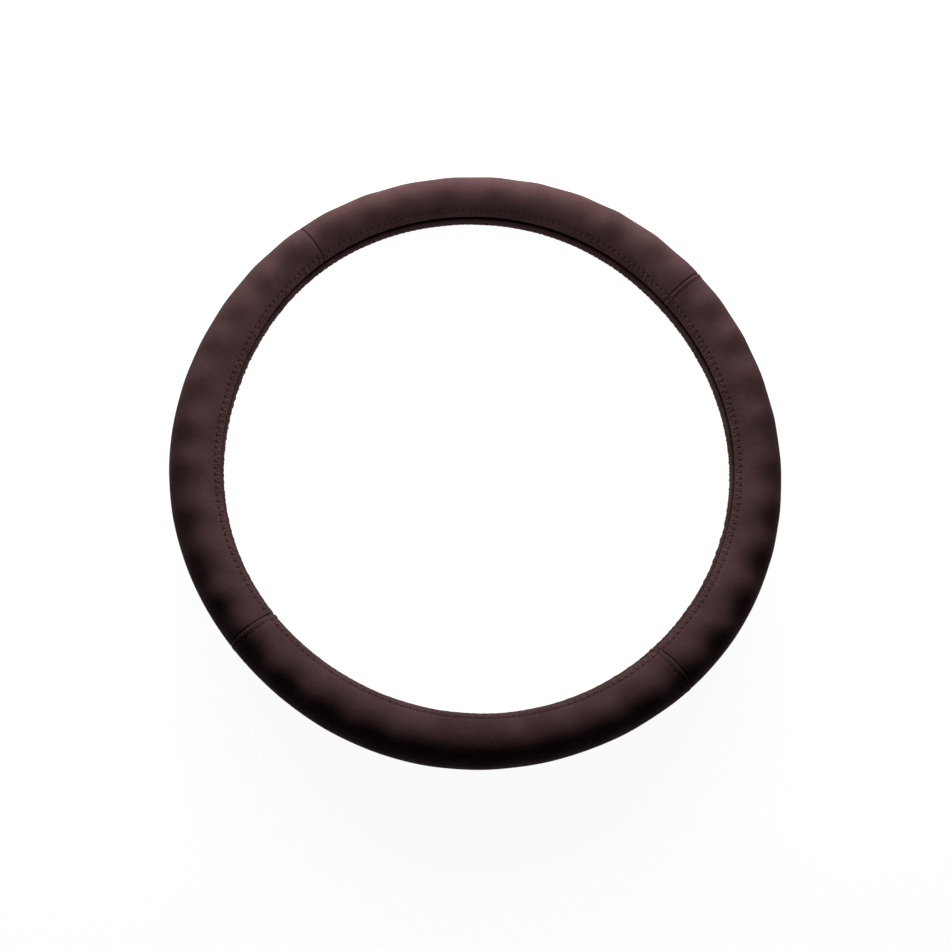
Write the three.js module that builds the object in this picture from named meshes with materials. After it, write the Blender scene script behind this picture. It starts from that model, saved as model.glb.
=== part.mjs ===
import * as THREE from 'three';

// Slip-on steering wheel cover: a soft ring of four padded leather panels sewn end to end,
// over one moulded rubber grip ring. Both are open along a slit that faces the hub, where the
// wheel's rim goes in. The ring lies on its back face, its axis on Z and its front facing up.
// Lengths are in millimetres and angles in degrees. A section angle of 0 is the outermost
// point of the tubular section, 90 its front, 180 the side facing the hub and -90 its back.

// Tubular section
const RING_RADIUS = 178;
const SECTION_HALF_WIDTH = 15.7;
const SECTION_HALF_HEIGHT = 17.85;
const REST_FLAT_DEPTH = 0.4;

// Slit towards the hub, measured from the section's middle plane
const SLIT_TOP = 2.8;
const SLIT_BOTTOM = -2.2;

// Leather with its foam backing, and the turned-in hem along both lips
const LEATHER_THICKNESS = 2.4;
const HEM_THICKNESS = 3.2;
const HEM_WIDTH = 7;
const FURROW_DEPTH = 0.5;
const FURROW_HALF_WIDTH = 1.1;

// Finger waves round the front, and how far their first hollow lies from a panel's start
const WAVES_PER_PANEL = 10;
const WAVE_HEIGHT = 1.3;
const WAVE_OFFSET = -6;
const BACK_WAVE_SHARE = 0.45;

// Cross seams between the panels
const PANELS = [
  { name: 'leather_panel_right', weltAtStart: false, weltAtEnd: true },
  { name: 'leather_panel_top', weltAtStart: false, weltAtEnd: false },
  { name: 'leather_panel_left', weltAtStart: false, weltAtEnd: false },
  { name: 'leather_panel_bottom', weltAtStart: true, weltAtEnd: true },
];
const PANEL_SPAN = 360 / PANELS.length;
const SEAM_GAP = 0.3;
const SEAM_DIP_DEPTH = 0.6;
const SEAM_DIP_WIDTH = 1.1;
const WELT_WIDTH = 2.7;
const WELT_SHOULDER = 0.9;
const WELT_HEIGHT = 0.25;

// Moulded rubber grip ring inside
const LAYER_GAP = 0.3;
const RUBBER_THICKNESS = 1.5;
const RUBBER_SETBACK = 1.6;
const GRIP_RIDGE_HEIGHT = 0.6;
const GRIP_RIDGES = 5;
const RUBBER_STEPS = 68;

const MID_PLANE = SECTION_HALF_HEIGHT - REST_FLAT_DEPTH;
const LIP_RADIUS = HEM_THICKNESS / 2;
const LIP_REACH = SECTION_HALF_HEIGHT - LIP_RADIUS;
const { degToRad, radToDeg, smoothstep } = THREE.MathUtils;

// Section angles of the lips' bead centres and of the two stitch furrows
const FRONT_LIP = 180 - radToDeg(Math.asin((SLIT_TOP + LIP_RADIUS) / LIP_REACH));
const BACK_LIP = -180 + radToDeg(Math.asin((LIP_RADIUS - SLIT_BOTTOM) / LIP_REACH));
const FRONT_FURROW = FRONT_LIP - arcDegrees(HEM_WIDTH - LIP_RADIUS, FRONT_LIP);
const BACK_FURROW = BACK_LIP + arcDegrees(HEM_WIDTH - LIP_RADIUS, BACK_LIP);
const REST_FLAT_HALF = radToDeg(Math.acos(1 - REST_FLAT_DEPTH / SECTION_HALF_HEIGHT));

const leather = new THREE.MeshStandardMaterial({ color: 0x412f2f, roughness: 0.5, metalness: 0 });
const rubber = new THREE.MeshStandardMaterial({ color: 0x0b0a0a, roughness: 0.8, metalness: 0 });

// Degrees of section angle that an arc length takes near the given angle
function arcDegrees(length, angle) {
  const a = degToRad(angle);
  const speed = Math.hypot(SECTION_HALF_WIDTH * Math.sin(a), SECTION_HALF_HEIGHT * Math.cos(a));
  return radToDeg(length / speed);
}

// Evenly spaced values from first to last, both included
function spread(first, last, count) {
  return Array.from({ length: count }, (_, i) => first + ((last - first) * i) / (count - 1));
}

// Outward normal of the section's outer curve
function sectionNormal(angle) {
  const a = degToRad(angle);
  return new THREE.Vector2(
    Math.cos(a) / SECTION_HALF_WIDTH,
    Math.sin(a) / SECTION_HALF_HEIGHT,
  ).normalize();
}

// Point of the section at a depth below its outer curve, from the section's centre
function sectionPoint(angle, depth) {
  const a = degToRad(angle);
  return new THREE.Vector2(SECTION_HALF_WIDTH * Math.cos(a), SECTION_HALF_HEIGHT * Math.sin(a))
    .addScaledVector(sectionNormal(angle), -depth);
}

// Leather thickness, which grows from each stitch furrow to its lip
function leatherDepth(angle) {
  const hem = Math.max(
    smoothstep(angle, FRONT_FURROW, FRONT_LIP),
    1 - smoothstep(angle, BACK_LIP, BACK_FURROW),
  );
  return LEATHER_THICKNESS + (HEM_THICKNESS - LEATHER_THICKNESS) * hem;
}

// How strongly the finger waves show at a section angle, from 0 to 1
function waveShare(angle) {
  const front = smoothstep(angle, 10, 75) * (1 - smoothstep(angle, 92, 145));
  const back = smoothstep(-angle, 14, 40) * (1 - smoothstep(-angle, 50, 76));
  return front + BACK_WAVE_SHARE * back;
}

// Depth of the furrow that each topstitch line pulls into the leather
function furrow(angle) {
  const frontTurn = Math.abs(angle - FRONT_FURROW) / arcDegrees(FURROW_HALF_WIDTH, FRONT_FURROW);
  const backTurn = Math.abs(angle - BACK_FURROW) / arcDegrees(FURROW_HALF_WIDTH, BACK_FURROW);
  return FURROW_DEPTH * Math.max(0, 1 - Math.min(frontTurn, backTurn));
}

// Relief of a panel's end: it dips into the seam, with a raised welt beside it where sewn down
function seamRelief(fromEnd, hasWelt) {
  const dip = SEAM_DIP_DEPTH * (1 - smoothstep(fromEnd, 0, SEAM_DIP_WIDTH));
  const weltEnd = SEAM_DIP_WIDTH + WELT_WIDTH;
  const welt = hasWelt ? 1 - smoothstep(fromEnd, weltEnd, weltEnd + WELT_SHOULDER) : 0;
  return WELT_HEIGHT * welt - dip;
}

// Stations across the leather: its outer surface from the back lip to the front lip
function outerAngles() {
  const backStep = arcDegrees(FURROW_HALF_WIDTH, BACK_FURROW);
  const frontStep = arcDegrees(FURROW_HALF_WIDTH, FRONT_FURROW);
  return [
    BACK_LIP,
    BACK_FURROW - backStep, BACK_FURROW, BACK_FURROW + backStep,
    (BACK_FURROW + backStep - 90 - REST_FLAT_HALF) / 2,
    -90 - REST_FLAT_HALF,
    ...spread(-90 + REST_FLAT_HALF, FRONT_FURROW - frontStep, 10),
    FRONT_FURROW, FRONT_FURROW + frontStep,
    FRONT_LIP,
  ];
}

// Stations where the leather's inner surface and the rubber's outer surface face each other
function layerAngles() {
  return [FRONT_LIP, ...spread(FRONT_FURROW, BACK_FURROW, 9), BACK_LIP];
}

// The bead of a lip: points on a half circle round the end of the hem
function lipBead(angle, turn) {
  const centre = sectionPoint(angle, LIP_RADIUS);
  const outward = sectionNormal(angle).multiplyScalar(LIP_RADIUS);
  return [60, 120].map((step) => {
    const spoke = outward.clone().rotateAround(new THREE.Vector2(), degToRad(turn * step));
    return spoke.add(centre);
  });
}

// Distances along a panel, from its start, at which the leather's section is drawn
function alongStations(length, panel) {
  const ends = (hasWelt) => {
    const weltEnd = SEAM_DIP_WIDTH + WELT_WIDTH;
    return hasWelt ? [SEAM_DIP_WIDTH, weltEnd, weltEnd + WELT_SHOULDER] : [SEAM_DIP_WIDTH];
  };
  const quarters = spread(0, length, WAVES_PER_PANEL * 4 + 1);
  const start = ends(panel.weltAtStart);
  const end = ends(panel.weltAtEnd).map((s) => length - s);
  return [...quarters, ...start, ...end].sort((a, b) => a - b);
}

// One closed section of the leather at a distance along the panel, as radius and height
function leatherSection(along, length, panel) {
  const phase = (2 * Math.PI * (along - WAVE_OFFSET) * WAVES_PER_PANEL) / length;
  const wave = -0.5 * Math.cos(phase) * WAVE_HEIGHT;
  const seam = seamRelief(along, panel.weltAtStart) + seamRelief(length - along, panel.weltAtEnd);
  const outer = outerAngles().map((angle) => {
    const relief = wave * waveShare(angle) + seam - furrow(angle);
    return sectionPoint(angle, -relief);
  });
  const inner = layerAngles().map((angle) => sectionPoint(angle, leatherDepth(angle)));
  const outline = [...outer, ...lipBead(FRONT_LIP, 1), ...inner, ...lipBead(BACK_LIP, -1).reverse()];
  return outline.map((p) => new THREE.Vector2(RING_RADIUS + p.x, Math.max(0, MID_PLANE + p.y)));
}

// Closed solid lofted through matching closed sections that are turned round the ring's axis
function loftRound(sections, angles) {
  const count = sections[0].length;
  const positions = [];
  sections.forEach((section, i) => {
    const a = degToRad(angles[i]);
    section.forEach((p) => positions.push(p.x * Math.cos(a), p.x * Math.sin(a), p.y));
  });
  const indices = [];
  for (let i = 0; i < sections.length - 1; i += 1) {
    for (let j = 0; j < count; j += 1) {
      const here = i * count + j;
      const next = i * count + ((j + 1) % count);
      indices.push(here, here + count, next, next, here + count, next + count);
    }
  }
  const last = (sections.length - 1) * count;
  THREE.ShapeUtils.triangulateShape(sections[0], []).forEach(([a, b, c]) => {
    indices.push(a, b, c);
  });
  THREE.ShapeUtils.triangulateShape(sections.at(-1), []).forEach(([a, b, c]) => {
    indices.push(last + a, last + c, last + b);
  });
  const geometry = new THREE.BufferGeometry();
  geometry.setAttribute('position', new THREE.Float32BufferAttribute(positions, 3));
  geometry.setIndex(indices);
  geometry.computeVertexNormals();
  return geometry;
}

// One leather panel, centred on the X axis
function leatherPanel(panel) {
  const hubSide = RING_RADIUS - SECTION_HALF_WIDTH;
  const halfGap = radToDeg(SEAM_GAP / 2 / hubSide);
  const span = PANEL_SPAN - 2 * halfGap;
  const length = degToRad(span) * RING_RADIUS;
  const stations = alongStations(length, panel);
  const sections = stations.map((along) => leatherSection(along, length, panel));
  const angles = stations.map((along) => (along / length - 0.5) * span);
  const mesh = new THREE.Mesh(loftRound(sections, angles), leather);
  mesh.name = panel.name;
  return mesh;
}

// The rubber grip ring: an open C in section, ridged inside to hold the wheel's rim
function rubberGripRing() {
  const outerStations = layerAngles().slice(1, -1);
  const setback = arcDegrees(RUBBER_SETBACK, FRONT_LIP);
  const ends = [FRONT_LIP - setback, BACK_LIP + setback];
  const outer = [ends[0], ...outerStations, ends[1]]
    .map((angle) => sectionPoint(angle, leatherDepth(angle) + LAYER_GAP));
  const bore = LEATHER_THICKNESS + LAYER_GAP + RUBBER_THICKNESS;
  const inner = spread(ends[1], ends[0], GRIP_RIDGES * 2 + 1)
    .map((angle, i) => sectionPoint(angle, bore + (i % 2) * GRIP_RIDGE_HEIGHT));
  const profile = [...outer, ...inner, outer[0]]
    .map((p) => new THREE.Vector2(RING_RADIUS + p.x, MID_PLANE + p.y));
  const geometry = new THREE.LatheGeometry(profile.reverse(), RUBBER_STEPS);
  geometry.rotateX(Math.PI / 2);
  const mesh = new THREE.Mesh(geometry, rubber);
  mesh.name = 'rubber_grip_ring';
  return mesh;
}

const cover = new THREE.Group();
cover.add(rubberGripRing());
PANELS.forEach((panel, i) => {
  const mesh = leatherPanel(panel);
  mesh.rotation.z = degToRad(i * PANEL_SPAN);
  cover.add(mesh);
});

export default cover;
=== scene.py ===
import math

import bpy
import numpy as np
from mathutils import Matrix, Vector


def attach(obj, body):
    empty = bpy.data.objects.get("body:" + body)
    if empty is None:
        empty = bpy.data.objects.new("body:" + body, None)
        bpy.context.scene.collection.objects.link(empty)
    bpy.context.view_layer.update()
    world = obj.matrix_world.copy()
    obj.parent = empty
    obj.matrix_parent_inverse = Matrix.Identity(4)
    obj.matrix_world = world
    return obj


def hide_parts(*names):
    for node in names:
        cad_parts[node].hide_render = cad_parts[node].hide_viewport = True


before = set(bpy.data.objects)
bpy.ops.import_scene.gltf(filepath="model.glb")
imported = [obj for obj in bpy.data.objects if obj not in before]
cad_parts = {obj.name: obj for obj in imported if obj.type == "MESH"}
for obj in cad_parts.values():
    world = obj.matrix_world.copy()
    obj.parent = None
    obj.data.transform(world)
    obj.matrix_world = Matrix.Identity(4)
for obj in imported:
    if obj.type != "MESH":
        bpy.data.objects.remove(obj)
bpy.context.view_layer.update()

# Sizes are in metres and angles in degrees. A section angle of 0 is the outermost point of the
# tubular section, 90 its front, 180 the side facing the hub and -90 its back.
MM = 0.001

# Tubular section and ring
RING_RADIUS = 178 * MM
HALF_WIDTH = 15.7 * MM
HALF_HEIGHT = 17.85 * MM
MID_PLANE = 17.45 * MM

# The soft ring lies a little out of round, and its section swells and slims round the turn:
# lobes, height and phase in degrees
OUT_OF_ROUND = ((1, 0.29 * MM, 257), (3, -0.59 * MM, 5.5), (5, -0.32 * MM, 5.5), (6, 0.19 * MM, 1.5))
SECTION_SWELL = (
    (1, 0.46 * MM, 261),
    (2, 0.38 * MM, 167),
    (3, 0.42 * MM, 26),
    (4, 0.22 * MM, 47),
    (5, 0.26 * MM, 22.5),
)

# Leather, its turned-in hem along both lips, and the slit between the lips
LEATHER_THICKNESS = 2.4 * MM
HEM_THICKNESS = 3.2 * MM
HEM_WIDTH = 7.0 * MM
LIP_RADIUS = HEM_THICKNESS / 2
SLIT_TOP = 2.8 * MM
SLIT_BOTTOM = -2.2 * MM

# Finger waves, how far their first hollow lies from a panel's start, and the section angles
# between which they rise to their full height and fade out again, the back's without their sign
WAVE_PITCH = 9.0
WAVE_HEIGHT = 1.3 * MM
WAVE_OFFSET = -6.0 * MM
FRONT_WAVE_RISE, FRONT_WAVE_FADE = (10, 75), (92, 145)
BACK_WAVE_RISE, BACK_WAVE_FADE = (14, 40), (50, 76)
BACK_WAVE_SHARE = 0.45

# Round the turn the waves grow and shrink by shares of their height, and come early or late by
# degrees. Each has a mean, slow lobes (lobes, height and phase in degrees) and a fine ripple.
WAVE_GAIN = 1.08
WAVE_SWELL = ((1, 0.30, 202), (4, 0.18, 34))
WAVE_SWELL_RIPPLE = 0.16
WAVE_LEAD = 0.54
WAVE_DRIFT = ((1, 1.07, 172), (2, 0.68, 11), (3, 0.18, 84))
WAVE_DRIFT_RIPPLE = 0.3

# Broad unevenness of the padding
BROAD_HEIGHT = 0.05 * MM
BROAD_COUNT = 18

# Cross seams and the welts beside them. A panel's end rounds over by nearly a quarter circle. On
# the outermost side dip and welt have OUTER_SEAM_SHARE of their depth, and beyond the section
# angles in OUTER_SEAM_FADE all of it. PANELS gives each side, and whether a welt lies at the
# panel's start and at its end.
PANEL_SPAN = 90.0
PANELS = (
    ("right", False, True),
    ("top", False, False),
    ("left", False, False),
    ("bottom", True, True),
)
SEAM_GAP = 0.06 * MM
SEAM_DIP_WIDTH = 1.25 * MM
SEAM_ROUNDING = 0.98
OUTER_SEAM_SHARE = 0.45
OUTER_SEAM_FADE = (20, 60)
WELT_STITCH_REACH = 3.6 * MM
WELT_SHOULDER = 0.9 * MM
WELT_HEIGHT = 0.35 * MM
WELT_GROOVE = 0.5 * MM
WELT_GROOVE_REACH = 0.7 * MM
WELT_THREAD_SINK = 0.45 * MM

# Topstitches, the furrow that they pull into the leather, and the pits between the stitches. A
# loop's ends have THREAD_END_SHARE of its thickness. Its middle stands THREAD_CROWN radii over the
# leather, and its ends dive THREAD_DIVE radii from there.
STITCH_PITCH = 4.2 * MM
STITCH_LENGTH = 2.8 * MM
THREAD_RADIUS = 0.34 * MM
THREAD_END_SHARE = 0.35
THREAD_CROWN, THREAD_DIVE = 0.75, 1.9
PRESSED_THREAD_LIFT = 0.02 * MM
FURROW_DEPTH = 0.25 * MM
FURROW_HALF_WIDTH = 1.2 * MM
FURROW_SHARPNESS = 2.5
PIT_DEPTH = 0.8 * MM
PIT_RADIUS = 0.8 * MM

# Cloth simulation of the leather along the topstitch, which is sewn down with some length to
# spare and gathers between the needle holes. The solver works on an enlarged copy. Rows count
# from beyond the topstitch, where they lie at shares of the hem's width, to the lip's bead.
# SPARE_LENGTH_FADE gives rows beyond the topstitch, and the share of spare length gone by there.
# A tack holds the hem for TACK_REACH rows, the last number left out, and the share SLIPPED_TACKS
# of the tacks may sit one column aside.
SIM_SCALE = 12.0
SIM_FRAMES = 16
SIM_PRESSURE = 10.0
GATHERS_PER_STITCH = 2
COLUMNS_PER_GATHER = 4
ROWS_BEYOND = 8
ROWS_INSIDE = 8
STRIP_BEYOND = 1.1
STRIP_BEAD_ANGLES = (40, 85)
SPARE_LENGTH = 0.08
SPARE_LENGTH_FADE = ((2, 0.3), (3, 0.6), (4, 1.0))
TACK_REACH = (2, 7)
SLIPPED_TACKS = 0.3
LOWEST_LIFT, HIGHEST_LIFT = -0.35 * MM, 0.6 * MM
LIFT_REFINEMENT = 4
LIP_CALM = 0.85
BEYOND_CALM = 0.45
BACK_HEM_TURN = 137.0

# Rubber grip ring inside
LAYER_GAP = 0.3 * MM
RUBBER_THICKNESS = 1.5 * MM
RUBBER_SETBACK = 1.6 * MM
GRIP_RIDGES = 9
GRIP_RIDGE_HEIGHT = 0.6 * MM

# Steps of the meshes: along a panel and closer at its rounded ends, across its outer side, round
# its lips' beads and across its inner side, then of the grip ring and of a thread loop
PANEL_STEPS = 881
SEAM_STEP = 0.09 * MM
HEM_STEPS, EDGE_STEPS, BODY_STEPS = 15, 8, 38
EDGE_WIDTH = 3 * MM
LIP_STEP = 22.5
INNER_STEPS = 14
RUBBER_TURN_STEPS, RUBBER_OUTER_STEPS, RIDGE_STEPS = 300, 48, 8
THREAD_RINGS, THREAD_SPOKES = 9, 8

rng = np.random.default_rng(7)


def smooth(x, low, high):
    t = np.clip((np.asarray(x, float) - low) / (high - low), 0, 1)
    return t * t * (3 - 2 * t)


def section_normal(angle):
    a = np.radians(angle)
    n = np.stack([np.cos(a) / HALF_WIDTH, np.sin(a) / HALF_HEIGHT], -1)
    return n / np.linalg.norm(n, axis=-1, keepdims=True)


def section_point(angle, lift=0.0):
    a = np.radians(angle)
    point = np.stack([HALF_WIDTH * np.cos(a), HALF_HEIGHT * np.sin(a)], -1)
    return point + section_normal(angle) * np.asarray(lift, float)[..., None]


def arc_degrees(length, angle):
    a = math.radians(angle)
    return math.degrees(length / math.hypot(HALF_WIDTH * math.sin(a), HALF_HEIGHT * math.cos(a)))


def lobed(t, lobes):
    return sum(height * np.sin(n * (t - math.radians(phase))) for n, height, phase in lobes)


def place(theta, section):
    """Points in the row frame, from degrees round the ring and offsets from the section's centre."""
    t = np.radians(theta)
    width = 1 + lobed(t, SECTION_SWELL) / HALF_WIDTH
    radius = RING_RADIUS + lobed(t, OUT_OF_ROUND) + section[..., 0] * width
    z = np.maximum(MID_PLANE + section[..., 1], 0)
    return np.stack([radius * np.cos(t), radius * np.sin(t), z], -1)


LIP_REACH = HALF_HEIGHT - LIP_RADIUS
FRONT_LIP = 180 - math.degrees(math.asin((SLIT_TOP + LIP_RADIUS) / LIP_REACH))
BACK_LIP = -180 + math.degrees(math.asin((LIP_RADIUS - SLIT_BOTTOM) / LIP_REACH))
FRONT_FURROW = FRONT_LIP - arc_degrees(HEM_WIDTH - LIP_RADIUS, FRONT_LIP)
BACK_FURROW = BACK_LIP + arc_degrees(HEM_WIDTH - LIP_RADIUS, BACK_LIP)
FIRST_SEAM = -PANEL_SPAN / 2


def ripple(theta, count, low, high):
    """Uneven wave round the ring: seeded harmonics between two frequencies, about 1 high."""
    n = rng.integers(low, high, count)
    phase = rng.uniform(0, 2 * np.pi, count)
    return sum(np.cos(k * np.radians(theta) + p) for k, p in zip(n, phase)) / math.sqrt(count)


class Unevenness:
    """What hand sewing leaves uneven, fixed once for the whole ring."""

    def __init__(self):
        # A value every 0.05 degrees, past both ends of the turn
        self.theta = np.linspace(-180, 540, 14401)
        t = np.radians(self.theta)
        gain_ripple = ripple(self.theta, count=9, low=6, high=30)
        shift_ripple = ripple(self.theta, count=7, low=4, high=22)
        self.wave_gain = WAVE_GAIN + lobed(t, WAVE_SWELL) + WAVE_SWELL_RIPPLE * gain_ripple
        self.wave_shift = WAVE_LEAD + lobed(t, WAVE_DRIFT) + WAVE_DRIFT_RIPPLE * shift_ripple

    def at(self, values, theta):
        return np.interp(theta, self.theta, values)


uneven = Unevenness()
# Lobes round the ring, lobes round the section, and phase
BROAD = [(rng.integers(4, 40), rng.integers(1, 5), rng.uniform(0, 6.28)) for _ in range(BROAD_COUNT)]


def wave_relief(theta, angle):
    share = smooth(angle, *FRONT_WAVE_RISE) * (1 - smooth(angle, *FRONT_WAVE_FADE))
    back_fade = 1 - smooth(-angle, *BACK_WAVE_FADE)
    share = share + BACK_WAVE_SHARE * smooth(-angle, *BACK_WAVE_RISE) * back_fade
    first_hollow = FIRST_SEAM + math.degrees(WAVE_OFFSET / RING_RADIUS)
    turn = (theta - first_hollow + uneven.at(uneven.wave_shift, theta)) / WAVE_PITCH
    gain = uneven.at(uneven.wave_gain, theta)
    return -0.5 * WAVE_HEIGHT * gain * np.cos(2 * np.pi * turn) * share


def broad_relief(theta, angle):
    total = 0
    for n, m, phase in BROAD:
        total = total + np.cos(n * np.radians(theta) + m * np.radians(angle) + phase)
    return BROAD_HEIGHT * total / math.sqrt(BROAD_COUNT)


def furrow_relief(angle):
    depth = 0
    for centre in (FRONT_FURROW, BACK_FURROW):
        reach = arc_degrees(FURROW_HALF_WIDTH, centre)
        depth = depth + np.exp(-(((angle - centre) / reach) ** 2) * FURROW_SHARPNESS)
    return -FURROW_DEPTH * depth


def hem_share(angle):
    """How far across the hem a section angle lies: 0 at the topstitch, 1 at the lip, by side."""
    front = (angle - FRONT_FURROW) / (FRONT_LIP - FRONT_FURROW)
    back = (angle - BACK_FURROW) / (BACK_LIP - BACK_FURROW)
    return front, back


def hem_excess(angle):
    """How much thicker the leather gets across the hem."""
    return (HEM_THICKNESS - LEATHER_THICKNESS) * smooth(np.maximum(*hem_share(angle)), 0, 1)


def stitch_count(angle):
    radius = RING_RADIUS + float(section_point(np.array(angle))[0])
    return round(2 * math.pi * radius / STITCH_PITCH)


def pit_relief(theta, angle):
    """Pits between one topstitch and the next."""
    total = 0
    for centre in (FRONT_FURROW, BACK_FURROW):
        turn = theta / 360 * stitch_count(centre) - 0.5
        along = (turn - np.round(turn)) * STITCH_PITCH
        aside = (angle - centre) / arc_degrees(1, centre)
        total = total - PIT_DEPTH * np.exp(-(along ** 2 + aside ** 2) / PIT_RADIUS ** 2)
    return total


class SewnHem:
    """Lift of the leather along a topstitch, from a cloth simulation of the front one."""

    def __init__(self):
        self.gathers = GATHERS_PER_STITCH * stitch_count(FRONT_FURROW)
        beyond = np.linspace(-STRIP_BEYOND, 0, ROWS_BEYOND + 1)[:-1]
        self.across = np.concatenate([beyond, np.linspace(0, 1, ROWS_INSIDE + 1)])
        self.lift = np.zeros((1, len(self.across)))
        calm = 1 - LIP_CALM * smooth(self.across, 0.5, 1.0) - BEYOND_CALM * (self.across < 0)
        lift = np.clip(self.simulate()[:, :len(self.across)], LOWEST_LIFT, HIGHEST_LIFT) * calm
        finer = LIFT_REFINEMENT * len(lift)
        self.lift = LIFT_REFINEMENT * np.fft.irfft(np.fft.rfft(lift, axis=0), n=finer, axis=0)

    def strip(self):
        """Points of the strip, in the row frame, and the outward direction at each."""
        columns = self.gathers * COLUMNS_PER_GATHER
        theta = np.arange(columns) * 360 / columns
        angle = FRONT_FURROW + self.across * (FRONT_LIP - FRONT_FURROW)
        bead_normal = lip_spokes(FRONT_LIP, 1, STRIP_BEAD_ANGLES)
        bead = section_point(np.array(FRONT_LIP), -LIP_RADIUS) + LIP_RADIUS * bead_normal
        section = np.concatenate([section_point(angle), bead])
        normal = np.concatenate([section_normal(angle), bead_normal])
        points = place(theta[:, None], section[None] + np.zeros((columns, 1, 1)))
        t = np.radians(theta)[:, None]
        away, up = normal[:, 0], normal[:, 1]
        outward = np.stack([away * np.cos(t), away * np.sin(t), up + 0 * t], -1)
        return points, outward

    def sewn_points(self, columns, rows):
        """Which points of the strip are held: both its edges, the topstitch with an uneven tack at
        each gather, and the cross seams."""
        held = np.zeros((columns, rows), bool)
        held[:, [0, ROWS_BEYOND, -1]] = True
        seams = (PANEL_SPAN / 2 + PANEL_SPAN * np.arange(4)) / 360 * columns
        held[np.round(seams).astype(int)] = True
        slip = rng.integers(-1, 2, self.gathers) * (rng.random(self.gathers) < SLIPPED_TACKS)
        tacks = (np.arange(self.gathers) * COLUMNS_PER_GATHER + slip) % columns
        for column, reach in zip(tacks, rng.integers(*TACK_REACH, self.gathers)):
            held[column, ROWS_BEYOND - 1:ROWS_BEYOND + reach + 1] = True
        return held

    def simulate(self):
        points, outward = self.strip()
        columns, rows = points.shape[:2]
        faces = [face for face in grid_faces(columns, rows, close_rows=True) if face[3] == face[0] + 1]
        strip = make_mesh("hem_strip", points.reshape(-1, 3) * SIM_SCALE, faces, leather)
        sewn = strip.vertex_groups.new(name="sewn")
        sewn.add(np.flatnonzero(self.sewn_points(columns, rows)).tolist(), 1.0, "REPLACE")
        plain = strip.vertex_groups.new(name="without_spare_length")
        beyond = ROWS_BEYOND - np.arange(columns * rows) % rows
        for reach, weight in SPARE_LENGTH_FADE:
            plain.add(np.flatnonzero(beyond >= reach).tolist(), weight, "REPLACE")
        modifier = strip.modifiers.new("cloth", "CLOTH")
        modifier.point_cache.frame_end = SIM_FRAMES
        modifier.collision_settings.use_collision = False
        cloth = modifier.settings
        cloth.quality = 4
        cloth.bending_stiffness = 50
        cloth.vertex_group_mass = "sewn"
        cloth.vertex_group_shrink = "without_spare_length"
        cloth.shrink_min = -SPARE_LENGTH
        cloth.use_pressure = True
        cloth.uniform_pressure_force = SIM_PRESSURE
        cloth.effector_weights.gravity = 0
        for frame_number in range(1, SIM_FRAMES + 1):
            bpy.context.scene.frame_set(frame_number)
        settled = strip.evaluated_get(bpy.context.evaluated_depsgraph_get())
        moved = np.empty(columns * rows * 3)
        settled.data.vertices.foreach_get("co", moved)
        bpy.context.scene.frame_set(1)
        mesh = strip.data
        bpy.data.objects.remove(strip)
        bpy.data.meshes.remove(mesh)
        return ((moved.reshape(points.shape) / SIM_SCALE - points) * outward).sum(-1)

    def at(self, theta, across):
        """Lift at angles round the ring and shares across the hem."""
        column = np.mod(theta, 360) / 360 * len(self.lift)
        left = np.floor(column).astype(int) % len(self.lift)
        right = (left + 1) % len(self.lift)
        row = np.interp(across, self.across, np.arange(len(self.across)))
        low = np.floor(row).astype(int)
        high = np.minimum(low + 1, len(self.across) - 1)
        part, share = column - np.floor(column), row - low
        near = self.lift[left, low] * (1 - part) + self.lift[right, low] * part
        far = self.lift[left, high] * (1 - part) + self.lift[right, high] * part
        return near * (1 - share) + far * share


def seam_relief(from_end, welted):
    inside = np.clip(1 - from_end / SEAM_DIP_WIDTH, 0, 1)
    dip = SEAM_DIP_WIDTH * (1 - np.sqrt(1 - SEAM_ROUNDING * inside ** 2))
    if not welted:
        return -dip
    end = WELT_STITCH_REACH
    groove = WELT_GROOVE * np.exp(-(((from_end - end) / WELT_GROOVE_REACH) ** 2))
    return WELT_HEIGHT * (1 - smooth(from_end, end, end + WELT_SHOULDER)) - dip - groove


def relief(theta, angle, seam=0.0, fine=True):
    total = wave_relief(theta, angle) + broad_relief(theta, angle) + furrow_relief(angle)
    seam_share = OUTER_SEAM_SHARE + (1 - OUTER_SEAM_SHARE) * smooth(np.abs(angle), *OUTER_SEAM_FADE)
    total = total + seam * seam_share
    if not fine:
        return total
    front, back = hem_share(angle)
    gathers = hem.at(theta, front) + hem.at(theta + BACK_HEM_TURN, back)
    return total + gathers + pit_relief(theta, angle)


def make_mesh(name, points, faces, material, smooth_faces=True):
    mesh = bpy.data.meshes.new(name)
    mesh.from_pydata(points.tolist(), [], faces)
    mesh.polygons.foreach_set("use_smooth", [smooth_faces] * len(mesh.polygons))
    mesh.materials.append(material)
    mesh.update()
    piece = bpy.data.objects.new(name, mesh)
    bpy.context.scene.collection.objects.link(piece)
    return piece


def grid_faces(rows, columns, first=0, close_rows=False):
    """Quads of a grid whose columns close on themselves."""
    r = np.arange(rows if close_rows else rows - 1)
    c = np.arange(columns)
    near, far = r[:, None] * columns, (r[:, None] + 1) % rows * columns
    over = (c + 1) % columns
    quads = np.stack([near + c, far + c, far + over, near + over], -1)
    return (quads.reshape(-1, 4) + first).tolist()


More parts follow.
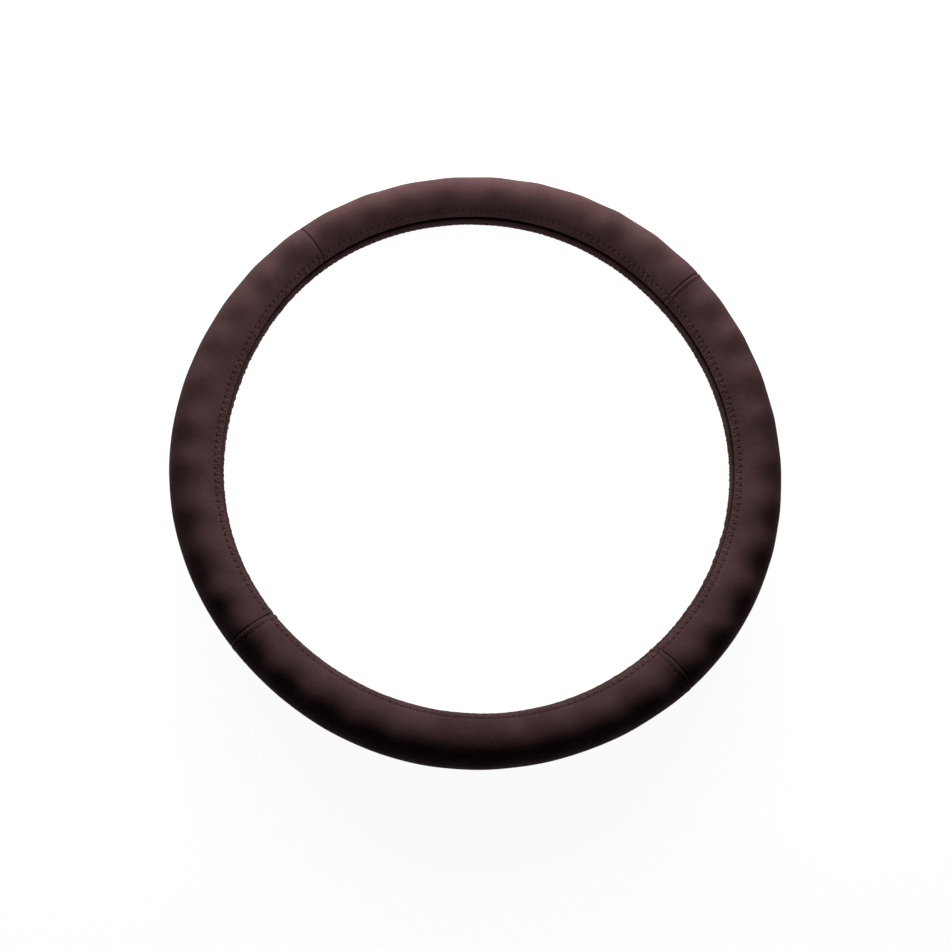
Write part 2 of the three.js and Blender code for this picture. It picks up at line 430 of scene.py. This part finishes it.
def outer_angles():
    front_edge = FRONT_FURROW - arc_degrees(EDGE_WIDTH, FRONT_FURROW)
    back_edge = BACK_FURROW + arc_degrees(EDGE_WIDTH, BACK_FURROW)
    return np.concatenate([
        np.linspace(BACK_LIP, BACK_FURROW, HEM_STEPS)[:-1],
        np.linspace(BACK_FURROW, back_edge, EDGE_STEPS)[:-1],
        np.linspace(back_edge, front_edge, BODY_STEPS)[:-1],
        np.linspace(front_edge, FRONT_FURROW, EDGE_STEPS)[:-1],
        np.linspace(FRONT_FURROW, FRONT_LIP, HEM_STEPS),
    ])


def lip_spokes(lip, turn, spokes):
    """Outward directions round a lip's bead, from its section angle over to its inner side."""
    normal = section_normal(np.array(lip))
    side = np.array([-normal[1], normal[0]]) * turn
    spokes = np.radians(spokes)[:, None]
    return np.cos(spokes) * normal + np.sin(spokes) * side


def leather_section(theta, seam):
    """Closed sections of the leather, one row for each theta, as offsets from the section centre."""
    angles = outer_angles()
    t = theta[:, None]
    outer = section_point(angles[None, :] + 0 * t, relief(t, angles[None, :], seam[:, None]))
    lips = []
    for lip, turn in ((FRONT_LIP, 1), (BACK_LIP, -1)):
        spokes = np.arange(LIP_STEP, 180, LIP_STEP)[::turn]
        centre = section_point(np.array(lip), -LIP_RADIUS)
        fade = np.cos(np.radians(spokes) / 2)[None, :] ** 2
        swell = relief(t, np.array([[lip]]), seam[:, None]) * fade
        lips.append(centre + lip_spokes(lip, turn, spokes) * (LIP_RADIUS + swell)[..., None])
    inner_angle = np.linspace(FRONT_LIP, BACK_LIP, INNER_STEPS)
    inner = section_point(inner_angle, -(LEATHER_THICKNESS + hem_excess(inner_angle)))
    inner = inner[None] + np.zeros((len(theta), 1, 1))
    return np.concatenate([outer, lips[0], inner, lips[1]], 1)


def leather_panel(name, centre, welt_start, welt_end, material):
    half_gap = math.degrees(SEAM_GAP / 2 / (RING_RADIUS - HALF_WIDTH))
    start = centre - PANEL_SPAN / 2 + half_gap
    end = centre + PANEL_SPAN / 2 - half_gap
    even = np.linspace(start, end, PANEL_STEPS)
    close = np.degrees(np.arange(0, SEAM_DIP_WIDTH, SEAM_STEP) / RING_RADIUS)[1:]
    theta = np.sort(np.concatenate([even, start + close, end - close]))
    seam = seam_relief(np.radians(theta - start) * RING_RADIUS, welt_start)
    seam = seam + seam_relief(np.radians(end - theta) * RING_RADIUS, welt_end)
    section = leather_section(theta, seam)
    points = place(theta[:, None], section)
    rows, columns = section.shape[:2]
    faces = grid_faces(rows, columns)
    faces.append(list(range(columns)))
    faces.append([(rows - 1) * columns + c for c in reversed(range(columns))])
    return make_mesh(name, points.reshape(-1, 3), faces, material)


def surface(theta, angle, lift):
    """Point on the leather, without its finest gathers, lifted along the section's normal."""
    return place(theta, section_point(angle, relief(theta, angle, fine=False) + lift))


def stitches(name, ends, material, sink=0.0):
    """Thread loops, one for each row of ends (near theta, near angle, far theta, far angle)."""
    t0, a0, t1, a1 = (np.asarray(v, float) for v in ends)
    p0, p1 = surface(t0, a0, -sink), surface(t1, a1, -sink)
    middle_t, middle_a = (t0 + t1) / 2, (a0 + a1) / 2
    base = surface(middle_t, middle_a, -sink)
    up = surface(middle_t, middle_a, 1 * MM) - base
    up /= np.linalg.norm(up, axis=-1, keepdims=True)
    along = p1 - p0
    length = np.linalg.norm(along, axis=-1, keepdims=True)
    along /= length
    side = np.cross(along, up)
    u = np.sin(np.linspace(-1, 1, THREAD_RINGS) * math.pi / 2)
    fullness = THREAD_END_SHARE + (1 - THREAD_END_SHARE) * np.sqrt(1 - np.abs(u) ** 5)
    radius = THREAD_RADIUS * fullness
    height = THREAD_RADIUS * (THREAD_CROWN - THREAD_DIVE * np.abs(u) ** 3)
    spin = np.arange(THREAD_SPOKES) * 2 * math.pi / THREAD_SPOKES
    points = (base[:, None, None]
              + along[:, None, None] * (length[:, None, None] / 2 * u[None, :, None, None])
              + up[:, None, None] * (height[:, None] + radius[:, None] * np.cos(spin))[None, ..., None]
              + side[:, None, None] * (radius[:, None] * np.sin(spin))[None, ..., None])
    points[..., 2] = np.maximum(points[..., 2], PRESSED_THREAD_LIFT)
    per_loop = THREAD_RINGS * THREAD_SPOKES
    faces = []
    for first in range(0, len(t0) * per_loop, per_loop):
        faces += grid_faces(THREAD_RINGS, THREAD_SPOKES, first)
        faces.append([first + s for s in range(THREAD_SPOKES)])
        faces.append([first + per_loop - 1 - s for s in range(THREAD_SPOKES)])
    return make_mesh(name, points.reshape(-1, 3), faces, material)


def topstitch(name, angle, material):
    count = stitch_count(angle)
    theta = np.arange(count) * 360 / count
    half = 180 / count * STITCH_LENGTH / STITCH_PITCH
    angles = np.full(count, angle)
    return stitches(name, (theta - half, angles, theta + half, angles), material)


def welt_stitches(name, seam_angle, side, material):
    """Topstitches beside a cross seam, from one lip's furrow round the outside to the other's."""
    offset = math.degrees(WELT_STITCH_REACH / RING_RADIUS) * side
    length = math.radians(FRONT_FURROW - BACK_FURROW) * (HALF_WIDTH + HALF_HEIGHT) / 2
    count = round(length / STITCH_PITCH)
    step = (FRONT_FURROW - BACK_FURROW) / count
    middle = BACK_FURROW + (np.arange(count) + 0.5) * step
    half = step / 2 * STITCH_LENGTH / STITCH_PITCH
    theta = np.full(count, seam_angle + offset)
    return stitches(name, (theta, middle - half, theta, middle + half), material, WELT_THREAD_SINK)


def rubber_ring(name, material):
    setback = arc_degrees(RUBBER_SETBACK, FRONT_LIP)
    front, back = FRONT_LIP - setback, BACK_LIP + setback
    outer_angle = np.linspace(back, front, RUBBER_OUTER_STEPS)
    outer = section_point(outer_angle, -(LEATHER_THICKNESS + LAYER_GAP + hem_excess(outer_angle)))
    inner_angle = np.linspace(front, back, GRIP_RIDGES * RIDGE_STEPS + 1)
    ridge = 0.5 - 0.5 * np.cos(np.linspace(0, 2 * math.pi * GRIP_RIDGES, len(inner_angle)))
    depth = LEATHER_THICKNESS + LAYER_GAP + RUBBER_THICKNESS + GRIP_RIDGE_HEIGHT * ridge
    inner = section_point(inner_angle, -depth)
    profile = np.concatenate([outer, inner])
    theta = np.arange(RUBBER_TURN_STEPS) * 360 / RUBBER_TURN_STEPS
    points = place(theta[:, None], profile[None] + np.zeros((RUBBER_TURN_STEPS, 1, 1)))
    faces = grid_faces(RUBBER_TURN_STEPS, len(profile), close_rows=True)
    return make_mesh(name, points.reshape(-1, 3), faces, material)


def plug(tree, target, inputs):
    """Link output sockets to a node's inputs, and set its other inputs to plain values."""
    for key, value in inputs.items():
        if isinstance(value, bpy.types.NodeSocket):
            tree.links.new(value, target.inputs[key])
        else:
            target.inputs[key].default_value = value


def node(tree, kind, inputs=None, **settings):
    made = tree.nodes.new(kind)
    for key, value in settings.items():
        setattr(made, key, value)
    plug(tree, made, inputs or {})
    return made


def new_material(name):
    material = bpy.data.materials.new(name)
    material.use_nodes = True
    tree = material.node_tree
    return material, tree, tree.nodes["Principled BSDF"]


# Colours, each with its dark and its light tone
LEATHER_TONES = (0.0437, 0.0219, 0.0224), (0.0611, 0.0315, 0.0322)
THREAD_TONES = (0.036, 0.0176, 0.0180), (0.060, 0.0300, 0.0308)
RUBBER_TONES = (0.016, 0.0085, 0.0085), (0.032, 0.018, 0.018)


def noise(tree, scale, detail, **more):
    """Noise over the object, with its scale in waves per metre."""
    place_at = node(tree, "ShaderNodeTexCoord").outputs["Object"]
    inputs = {"Vector": place_at, "Scale": scale, "Detail": detail, **more}
    return node(tree, "ShaderNodeTexNoise", inputs).outputs["Fac"]


def add_share(tree, value, share, total):
    inputs = {0: value, 1: share, 2: total}
    return node(tree, "ShaderNodeMath", inputs, operation="MULTIPLY_ADD").outputs[0]


def two_tones(tree, factor, span, tones):
    """Colour from a dark to a light tone, as the factor rises over its span."""
    ramp = node(tree, "ShaderNodeValToRGB", {"Fac": factor})
    for element, position, tone in zip(ramp.color_ramp.elements, span, tones):
        element.position = position
        element.color = (*tone, 1)
    return ramp.outputs["Color"]


def bump(tree, height, strength, distance):
    inputs = {"Height": height, "Strength": strength, "Distance": distance}
    return node(tree, "ShaderNodeBump", inputs).outputs["Normal"]


def leather_material():
    material, tree, shader = new_material("leather")
    place_at = node(tree, "ShaderNodeTexCoord").outputs["Object"]
    cells = {"Vector": place_at, "Scale": 1150.0, "Randomness": 0.9}
    grain = node(tree, "ShaderNodeTexVoronoi", cells, feature="DISTANCE_TO_EDGE").outputs["Distance"]
    edge = {"Value": grain, "From Min": 0.0, "From Max": 0.22}
    crease = node(tree, "ShaderNodeMapRange", edge, interpolation_type="SMOOTHSTEP").outputs["Result"]
    pores = noise(tree, scale=3200.0, detail=2.0)
    folds = noise(tree, scale=240.0, detail=3.0)
    tone = noise(tree, scale=50.0, detail=3.0, Roughness=0.6)
    height = node(tree, "ShaderNodeMath", {0: crease, 1: 0.5}, operation="MULTIPLY").outputs[0]
    height = add_share(tree, pores, 0.35, height)
    height = add_share(tree, folds, 2.6, height)
    colour = two_tones(tree, tone, (0.35, 0.65), LEATHER_TONES)
    # Painted shade: the base colour is multiplied down to 0.82 in the grain's creases, where shade
    # falls
    painted_crease_shade = node(tree, "ShaderNodeMapRange", {"Value": crease, "To Min": 0.82}).outputs["Result"]
    leather_colour_with_painted_shade = node(tree, "ShaderNodeMix", {"Factor": 1.0}, data_type="RGBA", blend_type="MULTIPLY")
    plug(tree, leather_colour_with_painted_shade, {6: colour, 7: painted_crease_shade})
    rough = node(tree, "ShaderNodeMapRange", {"Value": folds, "To Min": 0.62, "To Max": 0.74})
    plug(tree, shader, {
        "Base Color": leather_colour_with_painted_shade.outputs[2],
        "Roughness": rough.outputs["Result"],
        "Normal": bump(tree, height, strength=1.0, distance=0.07 * MM),
        "Specular IOR Level": 0.018,
    })
    return material


def thread_material():
    material, tree, shader = new_material("thread")
    twist = noise(tree, scale=2600.0, detail=2.0)
    plug(tree, shader, {
        "Base Color": two_tones(tree, twist, (0.35, 0.7), THREAD_TONES),
        "Roughness": 0.6,
        "Normal": bump(tree, twist, strength=0.8, distance=0.1 * MM),
        "Specular IOR Level": 0.1,
    })
    return material


def rubber_material():
    material, tree, shader = new_material("rubber")
    skin = noise(tree, scale=1800.0, detail=3.0)
    plug(tree, shader, {
        "Base Color": two_tones(tree, skin, (0, 1), RUBBER_TONES),
        "Roughness": 0.7,
        "Normal": bump(tree, skin, strength=0.6, distance=0.05 * MM),
        "Specular IOR Level": 0.25,
    })
    return material


def seen_directly(tree):
    """1 for camera, glossy and transmission rays, which see the white set, and 0 for light."""
    path = node(tree, "ShaderNodeLightPath").outputs
    seen = path["Is Camera Ray"]
    for ray in ("Is Glossy Ray", "Is Transmission Ray"):
        seen = node(tree, "ShaderNodeMath", {0: seen, 1: path[ray]}, operation="MAXIMUM").outputs[0]
    return seen


def floor_material():
    material, tree, shader = new_material("pale_floor")
    tree.nodes.remove(shader)
    glow = node(tree, "ShaderNodeEmission", {"Color": (1, 1, 1, 1), "Strength": 0.95}).outputs[0]
    lit = node(tree, "ShaderNodeBsdfDiffuse", {"Color": (0.2, 0.2, 0.2, 1)}).outputs[0]
    both = node(tree, "ShaderNodeAddShader", {0: glow, 1: lit}).outputs[0]
    mix = node(tree, "ShaderNodeMixShader", {"Fac": seen_directly(tree), 1: lit, 2: both})
    plug(tree, tree.nodes["Material Output"], {"Surface": mix.outputs[0]})
    return material


def white_world(ambient):
    world = bpy.data.worlds.new("studio")
    bpy.context.scene.world = world
    world.use_nodes = True
    tree = world.node_tree
    dim, white = (
        node(tree, "ShaderNodeBackground", {"Color": (1, 1, 1, 1), "Strength": strength}).outputs[0]
        for strength in (ambient, 1.0)
    )
    mix = node(tree, "ShaderNodeMixShader", {"Fac": seen_directly(tree), 1: dim, 2: white})
    plug(tree, tree.nodes["World Output"], {"Surface": mix.outputs[0]})


def area_light(name, bearing, distance, height, size, power):
    """Soft lamp that shines on the ring's centre, from a bearing (0 along +X), out and up."""
    a = math.radians(bearing)
    away = Vector((math.cos(a) * distance, math.sin(a) * distance, height))
    light = bpy.data.lights.new(name, "AREA")
    light.shape, light.energy = "RECTANGLE", power
    light.size, light.size_y = size
    lamp = bpy.data.objects.new(name, light)
    lamp.location = Vector((0, 0, MID_PLANE)) + away
    lamp.rotation_euler = away.to_track_quat("Z", "Y").to_euler()
    lamp.visible_camera = False
    bpy.context.scene.collection.objects.link(lamp)


# Camera: it looks down on the ring from the near side. The far side points along FAR_BEARING in
# the row frame and along IMAGE_BEARING in the picture, both counted from +X or the right.
FAR_BEARING = 79.21
IMAGE_BEARING = 73.75
CAMERA_TILT = 16.22
CAMERA_DISTANCE = 3.037 * RING_RADIUS
CAMERA_LENS = 32.02
SENSOR_WIDTH = 36.0
SHIFT_X = -0.0080
SHIFT_Y = -0.0289


def photo_camera():
    tilt, bearing, image = (math.radians(v) for v in (CAMERA_TILT, FAR_BEARING, IMAGE_BEARING))
    far = Vector((math.cos(bearing), math.sin(bearing), 0))
    up = Vector((0, 0, 1))
    back = up * math.cos(tilt) - far * math.sin(tilt)
    towards_far = far * math.cos(tilt) + up * math.sin(tilt)
    across = back.cross(towards_far)
    right = towards_far * math.cos(image) - across * math.sin(image)
    top = towards_far * math.sin(image) + across * math.cos(image)
    data = bpy.data.cameras.new("photo_camera")
    data.sensor_width, data.lens = SENSOR_WIDTH, CAMERA_LENS
    data.shift_x, data.shift_y = SHIFT_X, SHIFT_Y
    data.clip_start, data.clip_end = 0.01, 50
    camera = bpy.data.objects.new("photo_camera", data)
    turn = Matrix((right, top, back)).transposed().to_4x4()
    centre = Vector((0, 0, MID_PLANE))
    camera.matrix_world = Matrix.Translation(centre + back * CAMERA_DISTANCE) @ turn
    bpy.context.scene.collection.objects.link(camera)
    bpy.context.scene.camera = camera


def floor(material):
    reach = 6.0
    points = np.array([(-reach, -reach, 0), (reach, -reach, 0), (reach, reach, 0), (-reach, reach, 0)])
    plane = make_mesh("floor", points, [[0, 1, 2, 3]], material, smooth_faces=False)


def dress(piece, replaced=None):
    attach(piece, "root")
    if replaced:
        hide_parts(replaced)


leather, thread, rubber = leather_material(), thread_material(), rubber_material()
hem = SewnHem()

for index, (side, welt_start, welt_end) in enumerate(PANELS):
    panel = leather_panel(f"leather_{side}", index * PANEL_SPAN, welt_start, welt_end, leather)
    dress(panel, f"leather_panel_{side}")
    seam = FIRST_SEAM + index * PANEL_SPAN
    if welt_start:
        dress(welt_stitches(f"{side}_start_welt_stitches", seam, 1, thread))
    if welt_end:
        dress(welt_stitches(f"{side}_end_welt_stitches", seam + PANEL_SPAN, -1, thread))

dress(topstitch("front_topstitch", FRONT_FURROW, thread))
dress(topstitch("back_topstitch", BACK_FURROW, thread))
dress(rubber_ring("grip_ring", rubber), "rubber_grip_ring")

photo_camera()
floor(floor_material())
white_world(ambient=0.008)
area_light("far_softbox", bearing=96.5, distance=0.340, height=0.140, size=(0.87, 0.27), power=5.5)
area_light("hub_fill", bearing=289, distance=0.018, height=0.064, size=(0.194, 0.194), power=0.24)
bpy.context.scene.view_settings.view_transform = "Standard"
